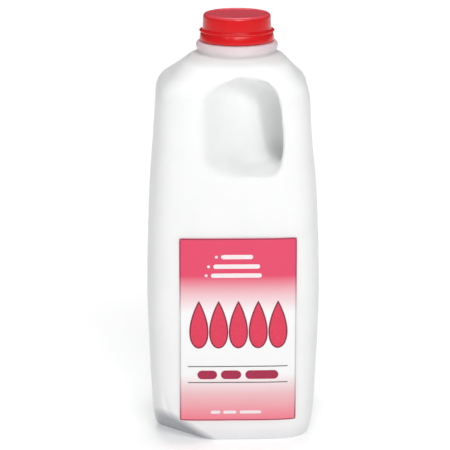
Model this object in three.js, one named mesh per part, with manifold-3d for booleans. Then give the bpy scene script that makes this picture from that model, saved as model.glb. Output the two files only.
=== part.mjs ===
// A shut half-gallon milk jug: the blown plastic body with its corner handle, the screw cap and the front label.
// Millimetres, +Z up. The label faces -Y, and the handle is on the corner between +X and -Y.
import * as THREE from 'three';
import { mergeVertices } from 'three/addons/utils/BufferGeometryUtils.js';
import Module from 'manifold-3d';

// Clearance between neighbouring pieces
const GAP = 0.3;

// Body: half-widths across the flats, and the heights where they are found
const BASE_HALF = 43.5;
const HEEL_HALF = 48.4;
const HEEL_Z = 15;
const BELLY_HALF = 51.2;
const BELLY_Z = 88;
const CHEST_HALF = 49.8;
const CHEST_Z = 140;
const UPPER_HALF = 47;
const UPPER_Z = 180;
const SHOULDER_HALF = 45.6;
const SHOULDER_Z = 202.2;
const SLOPE_TOP_HALF = 37.7;
const SLOPE_TOP_Z = 214.8;
const SLOPE_END_HALF = 27.9;
const SLOPE_END_Z = 225.2;
const COLLAR_R = 24;
const COLLAR_Z = 230.3;
const COLLAR_TOP_Z = 233.8;

// Squareness of a level section: 2 is a circle, larger is squarer
const BODY_SQUARENESS = 5;
const NECK_SQUARENESS = 2;
const ROUNDING_START_Z = 206;
const ROUNDING_END_Z = 228.5;

// The neck stands a little off the body's axis, toward the handle corner
const NECK_SHIFT = 2.6;
const NECK_LOWER_R = 20.3;
const NECK_STEP_Z = 239.6;
const NECK_R = 18.5;
const NECK_TOP_Z = 247.9;

// Handle opening, in the handle's own axes: u runs through it, v runs out to the corner
const WALL_V = 22.6;
const WALL_FALL = 0.3;
const WALL_HOLLOW = 0.0048;
const WALL_RIDGE_R = 2;
const WALL_RIDGE_LEAN = 0.2;
const WALL_LIP_LEAN = 0.05;
const WALL_LIP_U = 43;
const WALL_LIP_CURVE = 0.05;
const BAR_V = 45;
const BAR_FLARE = 0.046;
const BAR_FLARE_END_U = 26;
const OPENING_TOP_Z = 212.5;
const OPENING_TOP_FLARE = 5.2;
const OPENING_SIDE_DROP = 5.5;
const OPENING_BOTTOM_Z = 166;
const OPENING_BOTTOM_FLARE = 4.8;
const OPENING_FLARE_U = 22;
const OPENING_MID_Z = 190;
const BAR_LEAN = 0.09;
const OPENING_REACH_U = 66;
const WALL_SIDE_SQUARENESS = 4;
const BAR_SIDE_SQUARENESS = 2.8;

// Lifted heel at each corner beside the handle corner, with a pinched crease running up from it
const LIFT_START_U = 43.8;
const LIFT_SLOPE = THREE.MathUtils.degToRad(42.5);
const LIFT_REACH = 60;
const CREASE_TOP = { u: 61.3, v: 1.2, z: 28, r: 0.7 };
const CREASE_BOTTOM = { u: 60, v: 6, z: 9, r: 3 };

// Cap
const CAP_TOP_Z = 250;
const CAP_TOP_R = 18.2;
const CAP_EDGE_R = 1.8;
const CAP_SKIRT_R = 20.2;
const CAP_RIM_R = 22.4;
const CAP_RIM_Z = 240.2;
const CAP_RIM_THICK = 1;
const BAND_R = 21.5;
const BAND_BOTTOM_R = 22;
const BAND_BOTTOM_Z = 234.1;
const BAND_BORE_R = 20.9;
const CAP_BORE_R = 18.9;
const CAP_ROOF_Z = 248.3;

// Label
const LABEL_LEFT_X = -32.2;
const LABEL_RIGHT_X = 36.4;
const LABEL_BOTTOM_Z = 13.6;
const LABEL_TOP_Z = 125.5;
const LABEL_THICK = 0.4;
const LABEL_CORNER_R = 2.2;

// Facets round the body, round the cap, and along and round the handle opening
const BODY_SEGMENTS = 84;
const CAP_SEGMENTS = 64;
const OPENING_STATIONS = 34;
const OPENING_SEGMENTS = 40;

const wasm = await Module();
wasm.setup();

const DIAGONAL = Math.SQRT1_2;

function smoothstep(start, end, value) {
  return THREE.MathUtils.smoothstep(value, start, end);
}

// Solids for cutting, and back again

function toSolid(geometry) {
  geometry.deleteAttribute('normal');
  geometry.deleteAttribute('uv');
  const merged = mergeVertices(geometry, 1e-4);
  const triangles = [];
  const index = merged.index.array;
  for (let i = 0; i < index.length; i += 3) {
    const [a, b, c] = index.slice(i, i + 3);
    if (a !== b && b !== c && c !== a) {
      triangles.push(a, b, c);
    }
  }
  const vertProperties = new Float32Array(merged.attributes.position.array);
  const triVerts = new Uint32Array(triangles);
  return new wasm.Manifold(new wasm.Mesh({ numProp: 3, vertProperties, triVerts }));
}

function toGeometry(solid) {
  const mesh = solid.getMesh();
  const geometry = new THREE.BufferGeometry();
  geometry.setAttribute('position', new THREE.BufferAttribute(mesh.vertProperties, 3));
  geometry.setIndex(new THREE.BufferAttribute(mesh.triVerts, 1));
  geometry.computeVertexNormals();
  return geometry;
}

// Moves every vertex of a geometry to where place() puts it
function reshape(geometry, place) {
  const position = geometry.attributes.position;
  const point = new THREE.Vector3();
  for (let i = 0; i < position.count; i += 1) {
    point.fromBufferAttribute(position, i);
    place(point);
    position.setXYZ(i, point.x, point.y, point.z);
  }
  return geometry;
}

// From the handle's axes to the part's
function fromHandleAxes(u, v, z) {
  return new THREE.Vector3((u + v) * DIAGONAL, (u - v) * DIAGONAL, z);
}

// Body sections

function squarenessAt(z) {
  const rounding = smoothstep(ROUNDING_START_Z, ROUNDING_END_Z, z);
  return THREE.MathUtils.lerp(BODY_SQUARENESS, NECK_SQUARENESS, rounding);
}

function neckShiftAt(z) {
  return NECK_SHIFT * smoothstep(SHOULDER_Z, COLLAR_Z, z);
}

// Radius of a superellipse of half-width 1 in the direction of an angle
function superellipseRadius(angle, squareness) {
  const across = Math.abs(Math.cos(angle)) ** squareness;
  const along = Math.abs(Math.sin(angle)) ** squareness;
  return (across + along) ** (-1 / squareness);
}

// Half of the body's outline, from the middle of the base to the middle of the neck's end
function bodyOutline() {
  const heel = new THREE.CubicBezierCurve(
    new THREE.Vector2(BASE_HALF, 0),
    new THREE.Vector2(BASE_HALF + 2.6, 0),
    new THREE.Vector2(HEEL_HALF - 1.4, HEEL_Z - 10),
    new THREE.Vector2(HEEL_HALF, HEEL_Z),
  );
  const side = new THREE.SplineCurve([
    new THREE.Vector2(HEEL_HALF, HEEL_Z),
    new THREE.Vector2((HEEL_HALF + BELLY_HALF) / 2, (HEEL_Z + BELLY_Z) / 2 - 9),
    new THREE.Vector2(BELLY_HALF, BELLY_Z),
    new THREE.Vector2(CHEST_HALF, CHEST_Z),
    new THREE.Vector2(UPPER_HALF, UPPER_Z),
    new THREE.Vector2(SHOULDER_HALF, SHOULDER_Z),
  ]);
  const shoulder = new THREE.CubicBezierCurve(
    new THREE.Vector2(SHOULDER_HALF, SHOULDER_Z),
    new THREE.Vector2(SHOULDER_HALF - 0.7, SHOULDER_Z + 7),
    new THREE.Vector2(SLOPE_TOP_HALF + 3.2, SLOPE_TOP_Z - 3.0),
    new THREE.Vector2(SLOPE_TOP_HALF, SLOPE_TOP_Z),
  );
  const throat = new THREE.CubicBezierCurve(
    new THREE.Vector2(SLOPE_END_HALF, SLOPE_END_Z),
    new THREE.Vector2(SLOPE_END_HALF - 2.8, SLOPE_END_Z + 1.9),
    new THREE.Vector2(COLLAR_R + 0.5, COLLAR_Z - 2.6),
    new THREE.Vector2(COLLAR_R, COLLAR_Z),
  );
  const collar = new THREE.QuadraticBezierCurve(
    new THREE.Vector2(COLLAR_R, COLLAR_Z),
    new THREE.Vector2(COLLAR_R, COLLAR_TOP_Z),
    new THREE.Vector2(NECK_LOWER_R + 1.6, COLLAR_TOP_Z),
  );
  return [
    new THREE.Vector2(0, 0),
    ...heel.getPoints(7),
    ...side.getPoints(14).slice(1),
    ...shoulder.getPoints(6).slice(1),
    ...throat.getPoints(4),
    ...collar.getPoints(4).slice(1),
    new THREE.Vector2(NECK_LOWER_R, COLLAR_TOP_Z),
    new THREE.Vector2(NECK_LOWER_R, NECK_STEP_Z),
    new THREE.Vector2(NECK_R, NECK_STEP_Z),
    new THREE.Vector2(NECK_R, NECK_TOP_Z),
    new THREE.Vector2(0, NECK_TOP_Z),
  ];
}

const outline = bodyOutline();

// Half-width of the body across its flats at a height on the side
function halfWidthAt(z) {
  const above = outline.findIndex((point) => point.x > 0 && point.y >= z);
  const low = outline[above - 1];
  const high = outline[above];
  return THREE.MathUtils.mapLinear(z, low.y, high.y, low.x, high.x);
}

function bodySolid() {
  const geometry = new THREE.LatheGeometry(outline, BODY_SEGMENTS);
  geometry.rotateX(Math.PI / 2);
  reshape(geometry, (point) => {
    const angle = Math.atan2(point.y, point.x);
    const stretch = superellipseRadius(angle, squarenessAt(point.z));
    const shift = neckShiftAt(point.z);
    point.x = point.x * stretch + shift;
    point.y = point.y * stretch - shift;
  });
  return toSolid(geometry);
}

// Handle opening: a tunnel across the corner that flares toward both of its mouths

function openingSolid() {
  const geometry = new THREE.CylinderGeometry(1, 1, 2, OPENING_SEGMENTS, OPENING_STATIONS);
  reshape(geometry, (point) => {
    const u = point.y * OPENING_REACH_U;
    const reach = Math.abs(u);
    const lip = Math.max(0, reach - WALL_LIP_U);
    const flare = smoothstep(0, OPENING_FLARE_U, reach);
    const top = OPENING_TOP_Z + flare * (u < 0 ? OPENING_TOP_FLARE : -OPENING_SIDE_DROP);
    const bottom = OPENING_BOTTOM_Z - OPENING_BOTTOM_FLARE * flare;
    const squareness = point.x < 0 ? WALL_SIDE_SQUARENESS : BAR_SIDE_SQUARENESS;
    const stretch = superellipseRadius(Math.atan2(point.z, point.x), squareness);
    const z = (top + bottom) / 2 + point.z * stretch * (top - bottom) / 2;
    const down = OPENING_MID_Z - z;
    const wallLean = WALL_RIDGE_LEAN + (WALL_LIP_LEAN - WALL_RIDGE_LEAN) * smoothstep(0, WALL_LIP_U, reach);
    const fall = WALL_FALL * Math.hypot(reach, WALL_RIDGE_R) - WALL_HOLLOW * reach * reach;
    const wall = WALL_V - fall - WALL_LIP_CURVE * lip * lip + wallLean * down;
    const bar = BAR_V + BAR_FLARE * Math.min(reach, BAR_FLARE_END_U) ** 2 + BAR_LEAN * down;
    const v = (wall + bar) / 2 + point.x * stretch * (bar - wall) / 2;
    point.copy(fromHandleAxes(u, v, z));
  });
  return toSolid(geometry);
}

// Everything under a plane that rises outward from the base toward a corner; side is -1 or 1 along u
function liftSolid(side) {
  const geometry = new THREE.BoxGeometry(LIFT_REACH, 2 * LIFT_REACH, LIFT_REACH);
  geometry.translate(side * LIFT_REACH / 2, 0, -LIFT_REACH / 2);
  geometry.rotateY(-side * LIFT_SLOPE);
  geometry.translate(side * LIFT_START_U, 0, 0);
  geometry.rotateZ(Math.PI / 4);
  return toSolid(geometry);
}

// A slender cone lying along a corner, widest at the lifted heel
function creaseSolid(side) {
  const foot = fromHandleAxes(side * CREASE_BOTTOM.u, CREASE_BOTTOM.v, CREASE_BOTTOM.z);
  const head = fromHandleAxes(side * CREASE_TOP.u, CREASE_TOP.v, CREASE_TOP.z);
  const axis = head.clone().sub(foot);
  const geometry = new THREE.CylinderGeometry(CREASE_TOP.r, CREASE_BOTTOM.r, axis.length(), 16, 1);
  const turn = new THREE.Quaternion().setFromUnitVectors(new THREE.Vector3(0, 1, 0), axis.clone().normalize());
  geometry.applyQuaternion(turn);
  const middle = foot.add(head).multiplyScalar(0.5);
  geometry.translate(middle.x, middle.y, middle.z);
  return toSolid(geometry);
}

function jugGeometry() {
  let solid = bodySolid().subtract(openingSolid());
  for (const side of [-1, 1]) {
    solid = solid.subtract(liftSolid(side)).subtract(creaseSolid(side));
  }
  return toGeometry(solid);
}

// Cap: a cup over the neck, with a rim above its tamper band

function capGeometry() {
  const profile = new THREE.Path();
  profile.moveTo(0, CAP_TOP_Z);
  profile.lineTo(CAP_TOP_R, CAP_TOP_Z);
  profile.quadraticCurveTo(CAP_TOP_R + CAP_EDGE_R, CAP_TOP_Z, CAP_TOP_R + CAP_EDGE_R, CAP_TOP_Z - CAP_EDGE_R);
  profile.lineTo(CAP_SKIRT_R, CAP_RIM_Z + CAP_RIM_THICK);
  profile.lineTo(CAP_RIM_R - 0.4, CAP_RIM_Z + CAP_RIM_THICK / 2);
  profile.lineTo(CAP_RIM_R, CAP_RIM_Z);
  profile.lineTo(CAP_RIM_R - 0.2, CAP_RIM_Z - CAP_RIM_THICK / 2);
  profile.lineTo(BAND_R, CAP_RIM_Z - CAP_RIM_THICK);
  profile.lineTo(BAND_BOTTOM_R, BAND_BOTTOM_Z);
  profile.lineTo(BAND_BORE_R, BAND_BOTTOM_Z);
  profile.lineTo(BAND_BORE_R, NECK_STEP_Z + GAP);
  profile.lineTo(CAP_BORE_R, NECK_STEP_Z + GAP);
  profile.lineTo(CAP_BORE_R, CAP_ROOF_Z);
  profile.lineTo(0, CAP_ROOF_Z);
  const points = profile.getPoints(5).reverse();
  const geometry = new THREE.LatheGeometry(points, CAP_SEGMENTS);
  return geometry.rotateX(Math.PI / 2);
}

// Label: a thin plate that follows the front of the body

function frontAt(x, z) {
  const half = halfWidthAt(z);
  const squareness = squarenessAt(z);
  return -half * (1 - Math.abs(x / half) ** squareness) ** (1 / squareness);
}

function labelGeometry() {
  const columns = 14;
  const rows = 26;
  const midX = (LABEL_LEFT_X + LABEL_RIGHT_X) / 2;
  const halfWidth = (LABEL_RIGHT_X - LABEL_LEFT_X) / 2;
  const midZ = (LABEL_BOTTOM_Z + LABEL_TOP_Z) / 2;
  const halfHeight = (LABEL_TOP_Z - LABEL_BOTTOM_Z) / 2;
  const geometry = new THREE.BoxGeometry(2, 2, 2, columns, 1, rows);
  return reshape(geometry, (point) => {
    // The rows crowd toward the ends, where the corners are round
    const level = Math.sin(point.z * Math.PI / 2);
    const z = midZ + halfHeight * level;
    const toEnd = Math.min(LABEL_CORNER_R, halfHeight * (1 - Math.abs(level)));
    const inset = LABEL_CORNER_R - Math.sqrt(LABEL_CORNER_R ** 2 - (LABEL_CORNER_R - toEnd) ** 2);
    const x = midX + (halfWidth - inset) * point.x;
    const lift = point.y < 0 ? GAP + LABEL_THICK : GAP;
    point.set(x, frontAt(x, z) - lift, z);
  });
}

// Assembly

function material(color, roughness) {
  return new THREE.MeshStandardMaterial({ color, roughness, metalness: 0 });
}

function piece(name, geometry, look) {
  const mesh = new THREE.Mesh(geometry, look);
  mesh.name = name;
  return mesh;
}

const cap = piece('cap', capGeometry(), material(0xe6303a, 0.3));
cap.position.set(NECK_SHIFT, -NECK_SHIFT, 0);

const jug = new THREE.Group();
jug.add(piece('jug', jugGeometry(), material(0xf4f5f4, 0.42)));
jug.add(cap);
jug.add(piece('label', labelGeometry(), material(0xf0a8b4, 0.5)));

// The label stands proud of the front, so the whole moves back by half of that to centre it
jug.position.y = (GAP + LABEL_THICK) / 2;

export default jug;
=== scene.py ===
# A shut plastic milk jug with a red cap and a pink label, standing in a plain white studio.
import math

import bpy
import numpy as np
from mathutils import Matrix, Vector


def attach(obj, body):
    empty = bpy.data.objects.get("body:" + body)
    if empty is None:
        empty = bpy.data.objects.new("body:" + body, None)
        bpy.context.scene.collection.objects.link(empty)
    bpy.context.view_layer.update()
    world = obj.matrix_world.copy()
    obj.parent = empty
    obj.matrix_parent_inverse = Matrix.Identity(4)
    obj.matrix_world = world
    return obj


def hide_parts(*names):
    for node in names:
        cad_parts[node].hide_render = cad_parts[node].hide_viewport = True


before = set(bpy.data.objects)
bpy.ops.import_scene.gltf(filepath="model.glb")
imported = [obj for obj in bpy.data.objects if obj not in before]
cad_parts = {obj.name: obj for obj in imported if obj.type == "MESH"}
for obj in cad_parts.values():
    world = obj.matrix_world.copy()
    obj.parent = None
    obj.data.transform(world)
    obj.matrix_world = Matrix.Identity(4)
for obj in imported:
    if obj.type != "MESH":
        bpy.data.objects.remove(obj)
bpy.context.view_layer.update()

# Sizes below are in millimetres, in the part's frame: +Z up, label facing -Y, handle between +X and -Y.
MM = 0.001
DIAGONAL = math.sqrt(0.5)

# The body stands back by half of what the solid label stands proud of it, so that the whole is centred
SET_BACK = 0.35

# Body: half-widths across the flats, and the heights where they are found
BASE_HALF = 43.5
HEEL_HALF, HEEL_Z = 48.4, 15.0
BELLY_HALF, BELLY_Z = 51.2, 88.0
CHEST_HALF, CHEST_Z = 49.8, 140.0
UPPER_HALF, UPPER_Z = 47.0, 180.0
SHOULDER_HALF, SHOULDER_Z = 45.6, 202.2
SLOPE_TOP_HALF, SLOPE_TOP_Z = 37.7, 214.8
SLOPE_END_HALF, SLOPE_END_Z = 27.9, 225.2
COLLAR_R, COLLAR_Z, COLLAR_TOP_Z = 24.0, 230.3, 233.8
NECK_LOWER_R, NECK_STEP_Z = 20.3, 239.6
NECK_R, NECK_TOP_Z = 18.5, 247.9
NECK_SHIFT = 2.6

# Squareness of a level section: 2 is a circle, larger is squarer
BODY_SQUARENESS, NECK_SQUARENESS = 5.0, 2.0
ROUNDING_START_Z, ROUNDING_END_Z = 206.0, 228.5

# Handle opening: u runs through it, v runs out to the corner
WALL_V, WALL_FALL, WALL_HOLLOW, WALL_RIDGE_R = 22.6, 0.3, 0.0048, 2.0
WALL_LIP_U, WALL_LIP_CURVE = 43.0, 0.05
BAR_V, BAR_FLARE, BAR_FLARE_END_U = 45.0, 0.046, 26.0
OPENING_TOP_Z, OPENING_TOP_FLARE, OPENING_SIDE_DROP = 212.5, 5.2, 5.5
OPENING_BOTTOM_Z, OPENING_BOTTOM_FLARE = 166.0, 4.8
OPENING_FLARE_U = 22.0
OPENING_MID_Z, BAR_LEAN, WALL_RIDGE_LEAN, WALL_LIP_LEAN = 190.0, 0.09, 0.2, 0.05
WALL_SIDE_SQUARENESS, BAR_SIDE_SQUARENESS = 4.0, 2.8
CRISP_EDGE, SOFT_EDGE = 1.8, 5.0
SOFT_START_V, SOFT_END_V = 24.0, 40.0
SOFT_START_Z, SOFT_END_Z = 196.0, 216.0

# Lifted heel corners and the crease that runs up from each
LIFT_START_U, LIFT_SLOPE, LIFT_EDGE = 43.8, math.radians(42.5), 3.5
CREASE_TOP = np.array((61.3, 1.2, 28.0))
CREASE_BOTTOM = np.array((60.0, 6.0, 9.0))
CREASE_TOP_R, CREASE_BOTTOM_R, CREASE_EDGE = 0.7, 3.0, 2.0

# Fineness of the jug's mesh
JUG_CELL = 1.4

# Cap, about the neck's axis
CAP_TOP_Z, CAP_TOP_R, CAP_EDGE_R, CAP_LIP = 250.0, 18.2, 1.8, 0.5
CAP_SKIRT_R, CAP_RIM_R, CAP_RIM_Z, CAP_RIM_THICK = 20.2, 22.2, 240.0, 0.8
BAND_R, BAND_BOTTOM_R, BAND_BOTTOM_Z = 21.4, 22.1, 234.1
BAND_BORE_R, CAP_BORE_R, CAP_ROOF_Z, CAP_GAP = 20.9, 18.9, 248.3, 0.3

# Label
LABEL_LEFT, LABEL_RIGHT = -32.2, 36.4
LABEL_BOTTOM, LABEL_TOP = 13.6, 125.5
LABEL_CORNER = 2.2
LABEL_LIFT, LABEL_BACK_LIFT = 0.5, 0.02
INK_LIFT = 0.56
INK_STEP = 0.04

# Rows of the list: height, middle of the dot, and where the bar starts and ends
LIST_ROWS = [(114.5, -10.6, -7.9, 10.8), (108.8, -15.2, -12.4, 14.9), (103.4, -16.6, -13.8, 15.9)]
LIST_HEIGHT, DOT_HEIGHT = 2.6, 1.7
DROP_COUNT, DROP_FIRST_X, DROP_PITCH = 5, -20.9, 11.6
DROP_BOTTOM_Z, DROP_HEIGHT, DROP_WIDTH, DROP_BORDER = 58.9, 29.3, 11.3, 0.85
RULE_ROWS, RULE_LEFT, RULE_RIGHT, RULE_HEIGHT = (47.7, 37.7), -27.4, 31.4, 0.6
WORD_BARS, WORD_Z, WORD_HEIGHT = [(-21.8, -10.2), (-8.0, 4.0), (6.4, 25.9)], 42.5, 5.4
FOOT_BARS, FOOT_Z, FOOT_HEIGHT = [(-14.0, -8.2), (-6.6, 1.2), (3.2, 16.0)], 19.0, 2.0
# Painted shade line along the label's edge: its inset and width
EDGE_SHADE_INSET, EDGE_SHADE_WIDTH = 0.15, 0.55

# Camera: where it stands, how far it is turned, and its focal length for a frame of 450 by 450 pixels
CAMERA_PLACE = (-40.0, -1455.3, 490.3)
CAMERA_PITCH = math.radians(14.24)
CAMERA_YAW = math.radians(1.404)
FRAME_PIXELS = 450
FOCAL_PIXELS = 2500.0
SENSOR_WIDTH = 36.0

# Lights: name, place, width and height in metres, and power in watts
LIGHT_TARGET = (0.0, 0.0, 0.13)
LIGHTS = [
    ("front", (0.15, -1.5, 1.3), (0.9, 0.8), 17.4),
    ("front_left", (-0.8, -1.25, 1.1), (0.35, 0.35), 1.6),
    ("front_right", (0.8, -1.25, 1.1), (0.35, 0.35), 1.4),
    ("overhead", (0.0, 0.3, 1.5), (0.9, 0.9), 12.5),
]
WORLD_STRENGTH = 0.07

# Floor: its glow near and far, the distance between them, and its half-width, in metres
FLOOR_GLOW_NEAR, FLOOR_GLOW_FAR, FLOOR_GLOW_REACH = 0.3, 0.88, 1.6
FLOOR_HALF = 4.0


# Curves

def bezier(controls, steps):
    """Points along a Bezier curve of any degree."""
    t = np.linspace(0.0, 1.0, steps + 1)[:, None]
    level = [np.array([c], dtype=float) for c in controls]
    while len(level) > 1:
        level = [(1 - t) * a + t * b for a, b in zip(level, level[1:])]
    return level[0]


def spline(points, steps):
    """Points along a smooth curve through the given points."""
    p = np.array([points[0], *points, points[-1]], dtype=float)
    t = np.linspace(0.0, 1.0, steps, endpoint=False)[:, None]
    stretches = []
    for before, start, end, after in zip(p, p[1:], p[2:], p[3:]):
        leave = (end - before) / 2
        arrive = (after - start) / 2
        cubic = 2 * (start - end) + leave + arrive
        square = 3 * (end - start) - 2 * leave - arrive
        stretches.append(((cubic * t + square) * t + leave) * t + start)
    return np.concatenate([*stretches, p[-1:]])


def smoothstep(start, end, value):
    t = np.clip((value - start) / (end - start), 0.0, 1.0)
    return t * t * (3 - 2 * t)


# The jug as a field that is negative inside, close to a distance in millimetres

def body_outline():
    heel = bezier(
        [
            (BASE_HALF, 0),
            (BASE_HALF + 2.6, 0),
            (HEEL_HALF - 1.4, HEEL_Z - 10),
            (HEEL_HALF, HEEL_Z),
        ],
        16,
    )
    side = spline(
        [
            (HEEL_HALF, HEEL_Z),
            ((HEEL_HALF + BELLY_HALF) / 2, (HEEL_Z + BELLY_Z) / 2 - 9),
            (BELLY_HALF, BELLY_Z),
            (CHEST_HALF, CHEST_Z),
            (UPPER_HALF, UPPER_Z),
            (SHOULDER_HALF, SHOULDER_Z),
        ],
        12,
    )
    shoulder = bezier(
        [
            (SHOULDER_HALF, SHOULDER_Z),
            (SHOULDER_HALF - 0.7, SHOULDER_Z + 7),
            (SLOPE_TOP_HALF + 3.2, SLOPE_TOP_Z - 3.0),
            (SLOPE_TOP_HALF, SLOPE_TOP_Z),
        ],
        16,
    )
    throat = bezier(
        [
            (SLOPE_END_HALF, SLOPE_END_Z),
            (SLOPE_END_HALF - 2.8, SLOPE_END_Z + 1.9),
            (COLLAR_R - 1.2, COLLAR_Z - 3.2),
            (COLLAR_R - 0.7, COLLAR_Z - 1.6),
        ],
        12,
    )
    collar = bezier(
        [
            (COLLAR_R - 0.7, COLLAR_Z - 1.6),
            (COLLAR_R + 0.5, COLLAR_Z - 0.2),
            (COLLAR_R + 0.9, COLLAR_TOP_Z),
            (NECK_LOWER_R + 1.6, COLLAR_TOP_Z),
        ],
        16,
    )
    neck = [
        (NECK_LOWER_R, COLLAR_TOP_Z),
        (NECK_LOWER_R, NECK_STEP_Z),
        (NECK_R, NECK_STEP_Z),
        (NECK_R, NECK_TOP_Z),
        (0.0, NECK_TOP_Z),
    ]
    return np.concatenate([[(0.0, 0.0)], heel, side[1:], shoulder[1:], throat, collar[1:], neck])


OUTLINE = body_outline()


def half_width(z):
    return np.interp(z, OUTLINE[:, 1], OUTLINE[:, 0])


class OutlineDistance:
    """Signed distance to the body's outline, kept on a fine grid of half-width and height."""

    STEP = 0.5
    WIDEST = 68.0
    LOWEST = -6.0
    HIGHEST = 254.0

    def __init__(self, outline):
        r = np.arange(0.0, self.WIDEST, self.STEP)
        z = np.arange(self.LOWEST, self.HIGHEST, self.STEP)
        points = np.stack(np.meshgrid(r, z, indexing="ij"), -1)
        nearest = np.full(points.shape[:2], np.inf)
        for start, end in zip(outline, outline[1:]):
            run = end - start
            length = run @ run
            if length == 0.0:
                continue
            along = np.clip((points - start) @ run / length, 0.0, 1.0)
            away = np.linalg.norm(points - start - along[..., None] * run, axis=-1)
            nearest = np.minimum(nearest, away)
        width, height = points[..., 0], points[..., 1]
        within = (width < half_width(height)) & (height > 0) & (height < NECK_TOP_Z)
        self.values = np.where(within, -nearest, nearest)

    def at(self, r, z):
        columns, rows = self.values.shape
        i = np.clip(r / self.STEP, 0, columns - 1.001)
        j = np.clip((z - self.LOWEST) / self.STEP, 0, rows - 1.001)
        i0, j0 = i.astype(int), j.astype(int)
        fi, fj = i - i0, j - j0
        low = self.values[i0, j0] * (1 - fi) + self.values[i0 + 1, j0] * fi
        high = self.values[i0, j0 + 1] * (1 - fi) + self.values[i0 + 1, j0 + 1] * fi
        return low * (1 - fj) + high * fj


OUTLINE_DISTANCE = OutlineDistance(OUTLINE)


def squareness_at(z):
    rounding = smoothstep(ROUNDING_START_Z, ROUNDING_END_Z, z)
    return BODY_SQUARENESS + (NECK_SQUARENESS - BODY_SQUARENESS) * rounding


def body_field(x, y, z):
    shift = NECK_SHIFT * smoothstep(SHOULDER_Z, COLLAR_Z, z)
    squareness = squareness_at(z)
    across = np.abs(x - shift) ** squareness
    along = np.abs(y + shift) ** squareness
    return OUTLINE_DISTANCE.at((across + along) ** (1 / squareness), z)


def opening_field(u, v, z):
    """Negative inside the tunnel behind the handle."""
    reach = np.abs(u)
    lip = np.clip(reach - WALL_LIP_U, 0.0, None)
    ridge = np.sqrt(reach**2 + WALL_RIDGE_R**2)
    lean = WALL_RIDGE_LEAN + (WALL_LIP_LEAN - WALL_RIDGE_LEAN) * smoothstep(0.0, WALL_LIP_U, reach)
    down = OPENING_MID_Z - z
    wall = WALL_V - WALL_FALL * ridge + WALL_HOLLOW * reach**2 - WALL_LIP_CURVE * lip**2 + lean * down
    bar = BAR_V + BAR_FLARE * np.minimum(reach, BAR_FLARE_END_U) ** 2 + BAR_LEAN * down
    flare = smoothstep(0.0, OPENING_FLARE_U, reach)
    top = OPENING_TOP_Z + flare * np.where(u < 0, OPENING_TOP_FLARE, -OPENING_SIDE_DROP)
    bottom = OPENING_BOTTOM_Z - OPENING_BOTTOM_FLARE * flare
    half_v = (bar - wall) / 2
    half_z = (top - bottom) / 2
    out = v - (wall + bar) / 2
    up = z - (top + bottom) / 2
    squareness = np.where(out < 0, WALL_SIDE_SQUARENESS, BAR_SIDE_SQUARENESS)
    p = np.abs(out) / half_v + 1e-6
    q = np.abs(up) / half_z + 1e-6
    norm = (p**squareness + q**squareness) ** (1 / squareness)
    slope_v = (p / norm) ** (squareness - 1) / half_v
    slope_z = (q / norm) ** (squareness - 1) / half_z
    return (norm - 1) / np.hypot(slope_v, slope_z)


def crease_field(u, v, z):
    """Negative inside the slender cone that pinches each lifted corner."""
    axis = CREASE_TOP - CREASE_BOTTOM
    points = np.stack([np.abs(u), v, z], -1) - CREASE_BOTTOM
    along = np.clip(points @ axis / (axis @ axis), 0.0, 1.0)
    radius = CREASE_BOTTOM_R + (CREASE_TOP_R - CREASE_BOTTOM_R) * along
    return np.linalg.norm(points - along[:, None] * axis, axis=-1) - radius


def round_max(a, b, edge):
    """The larger of two fields, with the edge between them rounded."""
    blend = np.clip(edge - np.abs(a - b), 0.0, None)
    return np.maximum(a, b) + blend**2 / (4 * edge)


def jug_field(points):
    x, y, z = points.T
    u = (x + y) * DIAGONAL
    v = (x - y) * DIAGONAL
    soft = smoothstep(SOFT_END_V, SOFT_START_V, v) * smoothstep(SOFT_END_Z, SOFT_START_Z, z)
    edge = CRISP_EDGE + (SOFT_EDGE - CRISP_EDGE) * soft
    field = round_max(body_field(x, y, z), -opening_field(u, v, z), edge)
    lift = (np.abs(u) - LIFT_START_U) * math.sin(LIFT_SLOPE) - z * math.cos(LIFT_SLOPE)
    field = round_max(field, lift, LIFT_EDGE)
    return round_max(field, -crease_field(u, v, z), CREASE_EDGE)


# Mesh of a field's surface

def gradient(field, points):
    nudge = 0.05
    slopes = []
    for axis in range(3):
        step = np.zeros(3)
        step[axis] = nudge
        slopes.append((field(points + step) - field(points - step)) / (2 * nudge))
    return np.stack(slopes, -1)


def settle(field, points, rounds):
    """Moves points onto the field's surface, and gives the outward direction there."""
    for _ in range(rounds):
        slope = gradient(field, points)
        steepness = np.clip((slope**2).sum(-1), 0.2, None)
        points = points - (field(points) / steepness)[:, None] * slope
    slope = gradient(field, points)
    return points, slope / np.linalg.norm(slope, axis=-1, keepdims=True)


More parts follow.
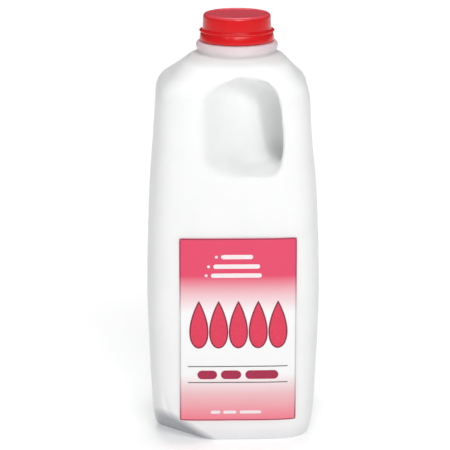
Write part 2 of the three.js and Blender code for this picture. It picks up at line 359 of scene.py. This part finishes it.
def surface_net(field, low, high, cell):
    """Points and four-sided faces where a field changes sign on a grid."""
    axes = [np.arange(a, b + cell, cell) for a, b in zip(low, high)]
    grid = np.stack(np.meshgrid(*axes, indexing="ij"), -1)
    values = field(grid.reshape(-1, 3)).reshape(grid.shape[:3])
    inside = values < 0
    shape = np.array(values.shape) - 1
    corners = [np.array(c) for c in np.ndindex(2, 2, 2)]
    filled = np.zeros(shape, dtype=int)
    for corner in corners:
        filled += inside[tuple(slice(c, c + n) for c, n in zip(corner, shape))]
    cells = np.argwhere((filled > 0) & (filled < 8))
    number = np.full(shape, -1)
    number[tuple(cells.T)] = np.arange(len(cells))

    total = np.zeros((len(cells), 3))
    count = np.zeros(len(cells))
    for axis in range(3):
        step = np.eye(3, dtype=int)[axis]
        for corner in corners:
            if corner[axis]:
                continue
            start = values[tuple((cells + corner).T)]
            end = values[tuple((cells + corner + step).T)]
            crosses = (start < 0) != (end < 0)
            part = np.where(crosses, start / np.where(crosses, start - end, 1.0), 0.0)
            total += np.where(crosses[:, None], corner + part[:, None] * step, 0.0)
            count += crosses
    points = np.array(low) + cell * (cells + total / count[:, None])

    faces = []
    for axis in range(3):
        step, side_a, side_b = (np.eye(3, dtype=int)[(axis + k) % 3] for k in range(3))
        start = inside[tuple(slice(0, n) for n in inside.shape - step)]
        end = inside[tuple(slice(s, None) for s in step)]
        edges = np.argwhere(start != end)
        ring = [edges - side_a - side_b, edges - side_b, edges, edges - side_a]
        quads = np.stack([number[tuple(r.T)] for r in ring], -1)
        leaving = start[tuple(edges.T)]
        faces.append(np.where(leaving[:, None], quads, quads[:, ::-1]))
    return points, np.concatenate(faces)


def mesh_object(name, points, faces, material, normals=None):
    mesh = bpy.data.meshes.new(name)
    placed = (np.asarray(points) + (0.0, SET_BACK, 0.0)) * MM
    mesh.from_pydata(placed.tolist(), [], [list(map(int, f)) for f in faces])
    mesh.shade_smooth()
    if normals is not None:
        mesh.normals_split_custom_set_from_vertices(normals.tolist())
    mesh.materials.append(material)
    piece = bpy.data.objects.new(name, mesh)
    bpy.context.collection.objects.link(piece)
    return piece


# Materials

# Places of the colour sockets on a mix node: factor, first and second colour, and the result
MIX_INPUTS, MIX_OUTPUT = (0, 6, 7), 2


def new_material(name, colour, roughness, **sockets):
    """A principled material; sockets holds further constant inputs by name, with _ for a space."""
    material = bpy.data.materials.new(name)
    material.use_nodes = True
    shader = material.node_tree.nodes["Principled BSDF"]
    shader.inputs["Base Color"].default_value = (*colour, 1.0)
    shader.inputs["Roughness"].default_value = roughness
    for socket, value in sockets.items():
        shader.inputs[socket.replace("_", " ")].default_value = value
    return material, material.node_tree, shader


def add_node(tree, kind, settings=None, **inputs):
    """A node with its settings and constant inputs; an input given as a socket is linked."""
    node = tree.nodes.new(kind)
    for name, value in (settings or {}).items():
        setattr(node, name, value)
    for name, value in inputs.items():
        socket = node.inputs[name.replace("_", " ")]
        if isinstance(value, bpy.types.NodeSocket):
            tree.links.new(value, socket)
        else:
            socket.default_value = value
    return node


def object_coordinates(tree):
    return add_node(tree, "ShaderNodeTexCoord").outputs["Object"]


def noise(tree, vector, scale, detail=3.0):
    texture = add_node(tree, "ShaderNodeTexNoise", Vector=vector, Scale=scale, Detail=detail)
    return texture.outputs["Fac"]


def height_share(tree, place, low, high):
    """How far up a point is from one height to another, from 0 to 1."""
    height = add_node(tree, "ShaderNodeSeparateXYZ", Vector=place).outputs["Z"]
    share = add_node(tree, "ShaderNodeMapRange", Value=height, From_Min=low * MM, From_Max=high * MM)
    return share.outputs["Result"]


def mix(tree, factor, first, second, blend="MIX"):
    """Two colours mixed; a value given as a socket is linked."""
    node = add_node(tree, "ShaderNodeMix", {"data_type": "RGBA", "blend_type": blend})
    for place, value in zip(MIX_INPUTS, (factor, first, second)):
        if isinstance(value, bpy.types.NodeSocket):
            tree.links.new(value, node.inputs[place])
        else:
            node.inputs[place].default_value = value
    return node.outputs[MIX_OUTPUT]


def ramp(tree, factor, stops):
    """A colour ramp with a few stops of (position, colour)."""
    node = add_node(tree, "ShaderNodeValToRGB", Fac=factor)
    elements = node.color_ramp.elements
    while len(elements) < len(stops):
        elements.new(0.5)
    for element, (position, colour) in zip(elements, stops):
        element.position = position
        element.color = (*colour, 1.0)
    return node.outputs["Color"]


def bump(tree, shader, height, strength, distance):
    node = add_node(tree, "ShaderNodeBump", Height=height, Strength=strength, Distance=distance)
    tree.links.new(node.outputs["Normal"], shader.inputs["Normal"])


def jug_material():
    material, tree, shader = new_material(
        "milky_plastic",
        (0.92, 0.925, 0.92),
        0.36,
        Subsurface_Weight=0.35,
        Subsurface_Radius=(1.0, 0.95, 0.9),
        Subsurface_Scale=0.006,
        Specular_IOR_Level=0.22,
    )
    place = object_coordinates(tree)
    cloud = noise(tree, place, 22.0)
    milky = ramp(tree, cloud, [(0.3, (0.895, 0.9, 0.9)), (0.7, (0.94, 0.945, 0.94))])
    level = height_share(tree, place, 0.0, CAP_TOP_Z)
    # Painted shade at the heel; greyer above the milk, where no milk fills the plastic, with painted
    # shadow of the cap there too; and a painted pink reflection of the cap at the collar
    white = (1.0, 1.0, 1.0)
    stops = [
        (0.0, (0.88, 0.88, 0.9)),
        (9.0, white),
        (221.5, white),
        (225.0, (0.83, 0.81, 0.81)),
        (229.0, (0.84, 0.77, 0.78)),
        (233.0, (0.86, 0.68, 0.72)),
    ]
    painted_light_tint = ramp(tree, level, [(z / CAP_TOP_Z, colour) for z, colour in stops])
    painted_light_tinted = mix(tree, 1.0, milky, painted_light_tint, "MULTIPLY")
    # Painted shade on the lifted heel corners, whose facets face down toward the floor
    across, down = math.sin(LIFT_SLOPE) * DIAGONAL, -math.cos(LIFT_SLOPE)
    front = add_node(tree, "ShaderNodeVectorMath", {"operation": "DOT_PRODUCT"}, Vector=place)
    front.inputs[1].default_value = (-across, -across, down)
    back = add_node(tree, "ShaderNodeVectorMath", {"operation": "DOT_PRODUCT"}, Vector=place)
    back.inputs[1].default_value = (across, across, down)
    nearer = add_node(tree, "ShaderNodeMath", {"operation": "MAXIMUM"})
    tree.links.new(front.outputs["Value"], nearer.inputs[0])
    tree.links.new(back.outputs["Value"], nearer.inputs[1])
    plane = LIFT_START_U * math.sin(LIFT_SLOPE)
    painted_heel_shade = add_node(
        tree,
        "ShaderNodeMapRange",
        Value=nearer.outputs[0],
        From_Min=(plane - 4.0) * MM,
        From_Max=(plane - 0.5) * MM,
    ).outputs["Result"]
    shaded = mix(tree, painted_heel_shade, painted_light_tinted, (0.4, 0.41, 0.44, 1.0), "MULTIPLY")
    tree.links.new(shaded, shader.inputs["Base Color"])
    haze = noise(tree, place, 420.0, 2.0)
    gloss = add_node(tree, "ShaderNodeMapRange", Value=haze, To_Min=0.31, To_Max=0.43)
    tree.links.new(gloss.outputs["Result"], shader.inputs["Roughness"])
    orange_peel = noise(tree, place, 260.0, 2.0)
    bump(tree, shader, orange_peel, 0.12, 0.0004)
    return material


def cap_material():
    material, tree, shader = new_material(
        "red_cap_plastic",
        (0.72, 0.012, 0.016),
        0.22,
        Specular_IOR_Level=0.35,
    )
    place = object_coordinates(tree)
    cloud = noise(tree, place, 90.0)
    red = ramp(tree, cloud, [(0.3, (0.69, 0.011, 0.014)), (0.7, (0.75, 0.014, 0.018))])
    # Paler and pinker on the flat top: a painted reflection of the light above
    top = height_share(tree, place, CAP_TOP_Z - CAP_EDGE_R, CAP_TOP_Z - CAP_LIP)
    colour = mix(tree, top, red, (0.73, 0.062, 0.09, 1.0))
    tree.links.new(colour, shader.inputs["Base Color"])
    grain = noise(tree, place, 900.0, 2.0)
    bump(tree, shader, grain, 0.08, 0.0002)
    return material


def label_material():
    material, tree, shader = new_material("label_print", (0.9, 0.5, 0.55), 0.4, Specular_IOR_Level=0.4)
    place = object_coordinates(tree)
    level = height_share(tree, place, LABEL_BOTTOM, LABEL_TOP)
    pink = (0.91, 0.2, 0.27)
    blush = (0.86, 0.52, 0.55)
    white = (0.93, 0.93, 0.93)
    rose = (0.79, 0.064, 0.145)
    petal = (0.88, 0.55, 0.59)
    stops = [(0.0, pink), (0.15, blush), (0.26, white), (0.6, white), (0.7, petal), (0.8, rose)]
    colour = ramp(tree, level, stops)
    tree.links.new(colour, shader.inputs["Base Color"])
    fibre = noise(tree, place, 700.0, 2.0)
    bump(tree, shader, fibre, 0.05, 0.0002)
    return material


def ink_material(name, dark, light):
    material, tree, shader = new_material(name, light, 0.4, Specular_IOR_Level=0.4)
    place = object_coordinates(tree)
    colour = ramp(tree, noise(tree, place, 600.0), [(0.3, dark), (0.7, light)])
    tree.links.new(colour, shader.inputs["Base Color"])
    return material


def edge_shade_material():
    """Painted shade along the label's edge: dark where the label is red, pale where it is white."""
    material, tree, shader = new_material("painted_edge_shade", (0.4, 0.1, 0.15), 0.4, Specular_IOR_Level=0.4)
    place = object_coordinates(tree)
    level = height_share(tree, place, LABEL_BOTTOM, LABEL_TOP)
    dark = (0.33, 0.03, 0.07)
    pale = (0.62, 0.54, 0.57)
    colour = ramp(tree, level, [(0.02, dark), (0.25, pale), (0.6, pale), (0.8, dark)])
    tree.links.new(colour, shader.inputs["Base Color"])
    return material


def floor_material():
    """A pale floor that glows more with distance, so that it stays white where the lights fade."""
    material, tree, shader = new_material(
        "studio_floor",
        (0.88, 0.88, 0.88),
        0.6,
        Emission_Color=(1.0, 1.0, 1.0, 1.0),
    )
    place = object_coordinates(tree)
    cloud = noise(tree, place, 3.0)
    colour = ramp(tree, cloud, [(0.3, (0.87, 0.87, 0.87)), (0.7, (0.89, 0.89, 0.89))])
    tree.links.new(colour, shader.inputs["Base Color"])
    length = add_node(tree, "ShaderNodeVectorMath", {"operation": "LENGTH"}, Vector=place)
    glow = add_node(
        tree,
        "ShaderNodeMapRange",
        Value=length.outputs["Value"],
        From_Max=FLOOR_GLOW_REACH,
        To_Min=FLOOR_GLOW_NEAR,
        To_Max=FLOOR_GLOW_FAR,
    )
    tree.links.new(glow.outputs["Result"], shader.inputs["Emission Strength"])
    return material


# Pieces

def make_jug():
    reach = BELLY_HALF + 2.0
    low = (-reach, -reach, -2.0)
    high = (reach, reach, NECK_TOP_Z + 2.0)
    points, faces = surface_net(jug_field, low, high, JUG_CELL)
    points, normals = settle(jug_field, points, 4)
    return mesh_object("jug_body", points, faces, jug_material(), normals)


def lathe(name, outline, segments, centre, material):
    """A body of revolution; the outline starts and ends on the axis."""
    angles = np.linspace(0.0, 2 * np.pi, segments, endpoint=False)
    inner = outline[1:-1]
    rings = np.stack(
        [
            inner[:, None, 0] * np.cos(angles) + centre[0],
            inner[:, None, 0] * np.sin(angles) + centre[1],
            np.broadcast_to(inner[:, None, 1], (len(inner), segments)),
        ],
        -1,
    )
    ends = [(centre[0], centre[1], outline[0, 1]), (centre[0], centre[1], outline[-1, 1])]
    points = np.concatenate([rings.reshape(-1, 3), ends])
    first, last = len(points) - 2, len(points) - 1
    faces = []
    for s in range(segments):
        after = (s + 1) % segments
        for row in range(len(inner) - 1):
            a, b = row * segments, (row + 1) * segments
            faces.append((a + s, a + after, b + after, b + s))
        faces.append((first, after, s))
        tail = (len(inner) - 1) * segments
        faces.append((tail + s, tail + after, last))
    return mesh_object(name, points, faces, material)


def make_cap():
    top = [(0.0, CAP_TOP_Z - CAP_LIP), (CAP_TOP_R - 2.2, CAP_TOP_Z - CAP_LIP)]
    lip = bezier(
        [
            (CAP_TOP_R - 1.6, CAP_TOP_Z - 0.9 * CAP_LIP),
            (CAP_TOP_R - 1.2, CAP_TOP_Z),
            (CAP_TOP_R - 0.6, CAP_TOP_Z),
        ],
        5,
    )
    shoulder = bezier(
        [
            (CAP_TOP_R - 0.2, CAP_TOP_Z),
            (CAP_TOP_R + CAP_EDGE_R - 0.2, CAP_TOP_Z - 0.1),
            (CAP_TOP_R + CAP_EDGE_R, CAP_TOP_Z - CAP_EDGE_R - 0.3),
        ],
        8,
    )
    rim_root = bezier(
        [
            (CAP_SKIRT_R, CAP_RIM_Z + CAP_RIM_THICK + 0.8),
            (CAP_SKIRT_R, CAP_RIM_Z + CAP_RIM_THICK * 0.55),
            (CAP_RIM_R - 0.9, CAP_RIM_Z + CAP_RIM_THICK * 0.5),
        ],
        6,
    )
    rim = bezier(
        [
            (CAP_RIM_R - 0.5, CAP_RIM_Z + CAP_RIM_THICK * 0.48),
            (CAP_RIM_R + 0.25, CAP_RIM_Z + CAP_RIM_THICK * 0.3),
            (CAP_RIM_R + 0.1, CAP_RIM_Z - CAP_RIM_THICK * 0.4),
            (CAP_RIM_R - 0.5, CAP_RIM_Z - CAP_RIM_THICK * 0.6),
        ],
        8,
    )
    under_rim = [
        (BAND_R - 0.15, CAP_RIM_Z - CAP_RIM_THICK * 0.8),
        (BAND_R, CAP_RIM_Z - CAP_RIM_THICK * 1.1),
    ]
    foot = bezier(
        [
            (BAND_BOTTOM_R, BAND_BOTTOM_Z + 0.6),
            (BAND_BOTTOM_R, BAND_BOTTOM_Z),
            (BAND_BOTTOM_R - 0.5, BAND_BOTTOM_Z),
        ],
        4,
    )
    bore = [
        (BAND_BORE_R, BAND_BOTTOM_Z),
        (BAND_BORE_R, NECK_STEP_Z + CAP_GAP),
        (CAP_BORE_R, NECK_STEP_Z + CAP_GAP),
        (CAP_BORE_R, CAP_ROOF_Z),
        (0.0, CAP_ROOF_Z),
    ]
    outline = np.concatenate([top, lip, shoulder, rim_root, rim, under_rim, foot, bore])
    return lathe("cap_shell", outline[::-1], 160, (NECK_SHIFT, -NECK_SHIFT), cap_material())


def on_front(x, z, lift):
    """Points on the front of the body, lifted off it."""
    half = half_width(z)
    y = -half * (1 - np.abs(x / half) ** BODY_SQUARENESS) ** (1 / BODY_SQUARENESS)
    return np.stack([x, y - lift, z], -1)


def grid_faces(rows, columns, start=0):
    faces = []
    for row in range(rows - 1):
        for column in range(columns - 1):
            a = start + row * columns + column
            faces.append((a, a + 1, a + columns + 1, a + columns))
    return faces


def make_label():
    rows, columns = 90, 50
    mid_x = (LABEL_LEFT + LABEL_RIGHT) / 2
    half_x = (LABEL_RIGHT - LABEL_LEFT) / 2
    mid_z = (LABEL_BOTTOM + LABEL_TOP) / 2
    half_z = (LABEL_TOP - LABEL_BOTTOM) / 2
    # The rows crowd toward the ends, where the corners are round
    level = np.sin(np.linspace(-1.0, 1.0, rows) * np.pi / 2)
    to_end = np.minimum(LABEL_CORNER, half_z * (1 - np.abs(level)))
    inset = LABEL_CORNER - np.sqrt(LABEL_CORNER**2 - (LABEL_CORNER - to_end) ** 2)
    x = mid_x + (half_x - inset)[:, None] * np.linspace(-1.0, 1.0, columns)
    z = np.broadcast_to((mid_z + half_z * level)[:, None], x.shape)
    front = on_front(x, z, LABEL_LIFT).reshape(-1, 3)
    back = on_front(x, z, LABEL_BACK_LIFT).reshape(-1, 3)
    count = rows * columns
    faces = grid_faces(rows, columns)
    faces += [f[::-1] for f in grid_faces(rows, columns, count)]
    sides = np.arange(count).reshape(rows, columns)
    rim = np.concatenate([sides[0], sides[1:, -1], sides[-1, -2::-1], sides[-2:0:-1, 0]])
    for a, b in zip(rim, np.roll(rim, -1)):
        faces.append((b, a, a + count, b + count))
    return mesh_object("front_label", np.concatenate([front, back]), faces, label_material())


# Print: simple shapes in ink, each a strip between two edges on the label

def strips(name, shapes, lift, material):
    across = 6
    points, faces, start = [], [], 0
    for left, right in shapes:
        share = np.linspace(0.0, 1.0, across)[:, None, None]
        flat = left + (right - left) * share
        points.append(on_front(flat[..., 0], flat[..., 1], lift).reshape(-1, 3))
        faces += grid_faces(across, len(left), start)
        start += across * len(left)
    return mesh_object(name, np.concatenate(points), faces, material)


def bar(left, right, middle_z, height):
    """A level bar with round ends."""
    half = height / 2
    turn = np.linspace(0.0, np.pi / 2, 9)
    left_end = left + half * (1 - np.cos(turn))
    right_end = right - half * (1 - np.cos(turn[::-1]))
    x = np.concatenate([left_end, np.linspace(left + half, right - half, 12)[1:-1], right_end])
    rise = half * np.concatenate([np.sin(turn), np.ones(10), np.sin(turn[::-1])])
    return np.stack([x, middle_z - rise], -1), np.stack([x, middle_z + rise], -1)


def line(left, right, middle_z, height):
    x = np.linspace(left, right, 24)
    lower = np.stack([x, 0 * x + middle_z - height / 2], -1)
    upper = np.stack([x, 0 * x + middle_z + height / 2], -1)
    return lower, upper


def drop(middle_x, bottom_z, height, width, shrink=0.0):
    """A drop that is round below and pointed above."""
    turn = np.linspace(0.0, np.pi, 40)
    half = np.sin(turn) * np.sin(turn / 2) ** 0.9
    half *= (width / 2 - shrink) / half.max()
    z = bottom_z + shrink + (height - 3 * shrink) * (1 + np.cos(turn)) / 2
    return np.stack([middle_x + half, z], -1), np.stack([middle_x - half, z], -1)


def frame_line(left, right, bottom, top, width):
    """Four lines that run round a rectangle."""
    rows = np.linspace(bottom, top, 60)
    upright = [np.stack([0 * rows + x, rows], -1) for x in (left, left + width, right - width, right)]
    level = [line(left, right, z, width) for z in (bottom + width / 2, top - width / 2)]
    return [(upright[0], upright[1]), (upright[2], upright[3]), *level]


def make_print():
    pale = ink_material("pale_ink", (0.9, 0.78, 0.81), (0.93, 0.84, 0.86))
    red = ink_material("red_ink", (0.72, 0.032, 0.085), (0.77, 0.042, 0.1))
    maroon = ink_material("maroon_ink", (0.36, 0.01, 0.055), (0.42, 0.015, 0.07))
    wine = ink_material("wine_ink", (0.2, 0.006, 0.03), (0.26, 0.008, 0.04))
    grey = ink_material("grey_ink", (0.11, 0.095, 0.1), (0.15, 0.13, 0.135))

    rows = []
    for z, dot, left, right in LIST_ROWS:
        rows.append(bar(dot - DOT_HEIGHT / 2, dot + DOT_HEIGHT / 2, z, DOT_HEIGHT))
        rows.append(bar(left, right, z, LIST_HEIGHT))
    feet = [bar(left, right, FOOT_Z, FOOT_HEIGHT) for left, right in FOOT_BARS]
    words = [bar(left, right, WORD_Z, WORD_HEIGHT) for left, right in WORD_BARS]
    rules = [line(RULE_LEFT, RULE_RIGHT, z, RULE_HEIGHT) for z in RULE_ROWS]
    places = [DROP_FIRST_X + DROP_PITCH * k for k in range(DROP_COUNT)]
    drops = [drop(x, DROP_BOTTOM_Z, DROP_HEIGHT, DROP_WIDTH, DROP_BORDER) for x in places]
    borders = [drop(x, DROP_BOTTOM_Z, DROP_HEIGHT, DROP_WIDTH) for x in places]
    edge = frame_line(
        LABEL_LEFT + EDGE_SHADE_INSET,
        LABEL_RIGHT - EDGE_SHADE_INSET,
        LABEL_BOTTOM + EDGE_SHADE_INSET,
        LABEL_TOP - EDGE_SHADE_INSET,
        EDGE_SHADE_WIDTH,
    )
    return [
        strips("label_list", rows + feet, INK_LIFT, pale),
        strips("label_drops", drops, INK_LIFT + INK_STEP, red),
        strips("label_drop_borders", borders, INK_LIFT, wine),
        strips("label_words", words, INK_LIFT, maroon),
        strips("label_rules", rules, INK_LIFT, grey),
        # The edge line is painted shade along the label's rim, not ink
        strips("label_edge_shade", edge, INK_LIFT, edge_shade_material()),
    ]


# Studio

def make_floor():
    mesh = bpy.data.meshes.new("floor")
    corners = [(-FLOOR_HALF, -FLOOR_HALF, 0), (FLOOR_HALF, -FLOOR_HALF, 0)]
    corners += [(FLOOR_HALF, FLOOR_HALF, 0), (-FLOOR_HALF, FLOOR_HALF, 0)]
    mesh.from_pydata(corners, [], [(0, 1, 2, 3)])
    mesh.materials.append(floor_material())
    floor = bpy.data.objects.new("floor", mesh)
    bpy.context.collection.objects.link(floor)
    return floor


def area_light(name, place, target, size, power):
    light = bpy.data.lights.new(name, "AREA")
    light.shape = "RECTANGLE"
    light.size, light.size_y = size
    light.energy = power
    lamp = bpy.data.objects.new(name, light)
    lamp.location = place
    lamp.rotation_euler = (Vector(target) - Vector(place)).to_track_quat("-Z", "Y").to_euler()
    bpy.context.collection.objects.link(lamp)


def make_studio():
    make_floor()
    world = bpy.data.worlds.new("studio")
    world.use_nodes = True
    world.node_tree.nodes["Background"].inputs["Color"].default_value = (0.95, 0.97, 1.0, 1.0)
    world.node_tree.nodes["Background"].inputs["Strength"].default_value = WORLD_STRENGTH
    bpy.context.scene.world = world
    for name, place, size, power in LIGHTS:
        area_light(name, place, LIGHT_TARGET, size, power)
    bpy.context.scene.view_settings.view_transform = "Standard"


def make_camera():
    camera = bpy.data.cameras.new("camera")
    camera.sensor_width = SENSOR_WIDTH
    camera.lens = FOCAL_PIXELS / FRAME_PIXELS * SENSOR_WIDTH
    stand = bpy.data.objects.new("camera", camera)
    stand.location = Vector(CAMERA_PLACE) * MM
    stand.rotation_euler = (math.pi / 2 - CAMERA_PITCH, 0.0, -CAMERA_YAW)
    bpy.context.collection.objects.link(stand)
    bpy.context.scene.camera = stand


def dress(piece, node=None):
    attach(piece, "root")
    if node:
        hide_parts(node)


dress(make_jug(), "jug")
dress(make_cap(), "cap")
dress(make_label(), "label")
for ink in make_print():
    dress(ink)
make_studio()
make_camera()
